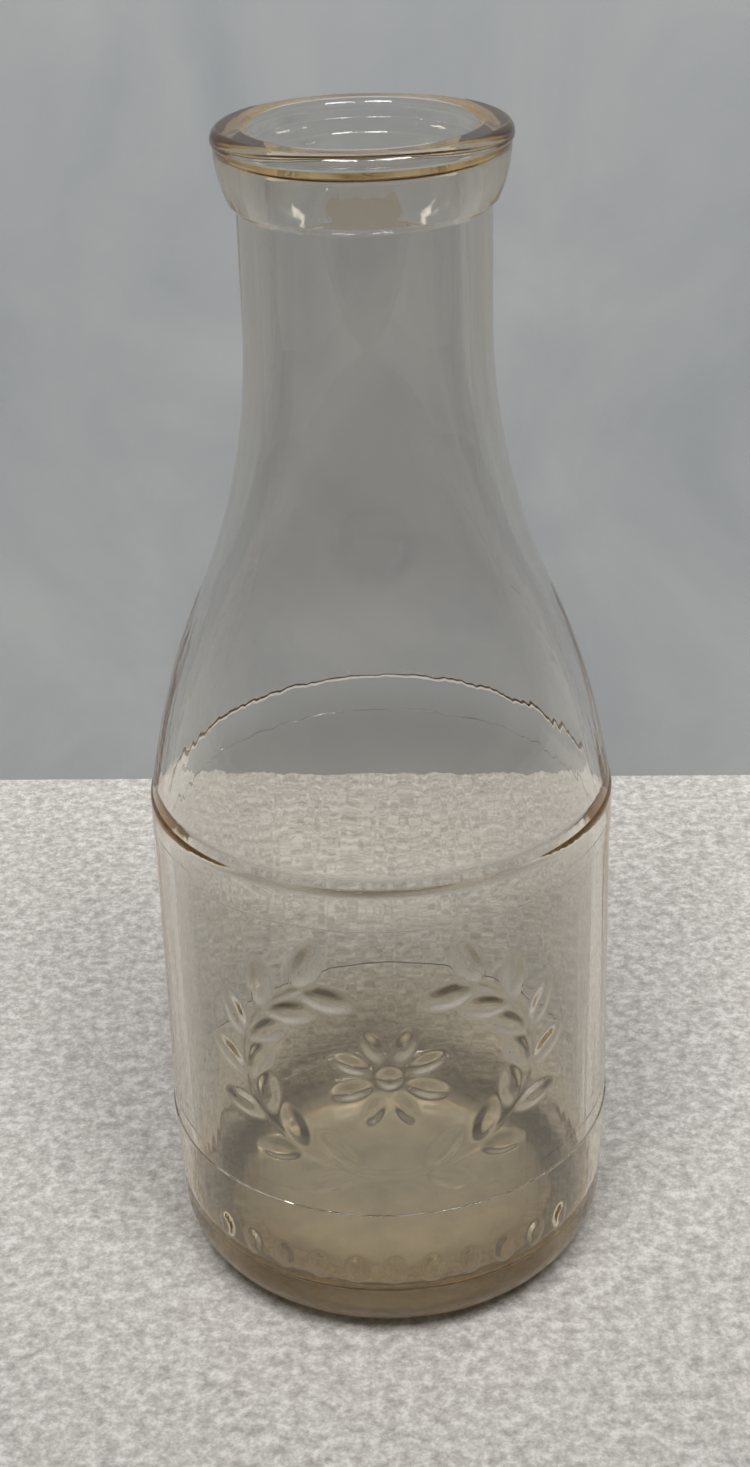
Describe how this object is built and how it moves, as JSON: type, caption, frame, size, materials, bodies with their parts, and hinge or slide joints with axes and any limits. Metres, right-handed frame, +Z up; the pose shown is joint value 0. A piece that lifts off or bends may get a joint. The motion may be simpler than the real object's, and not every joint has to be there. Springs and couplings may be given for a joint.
{
  "type": "milk bottle",
  "caption": "Round glass milk bottle with a rounded lip over a sloping disc-cap seat, a straight neck, an S-curved shoulder, a ledge, smooth bands and a pushed-up base",
  "frame": {"origin": "centre of the ring that the bottle stands on", "axes": "+Z up through the middle of the mouth, -Y towards the viewer of the front panel, +X to the viewer's right"},
  "size_m": [0.0974, 0.0974, 0.2476],
  "materials": {
    "clear_glass": "clear soda-lime glass with a faint straw tint, fire-polished"
  },
  "bodies": {
    "root": {"glass_bottle": "clear_glass"}
  },
  "joints": []
}
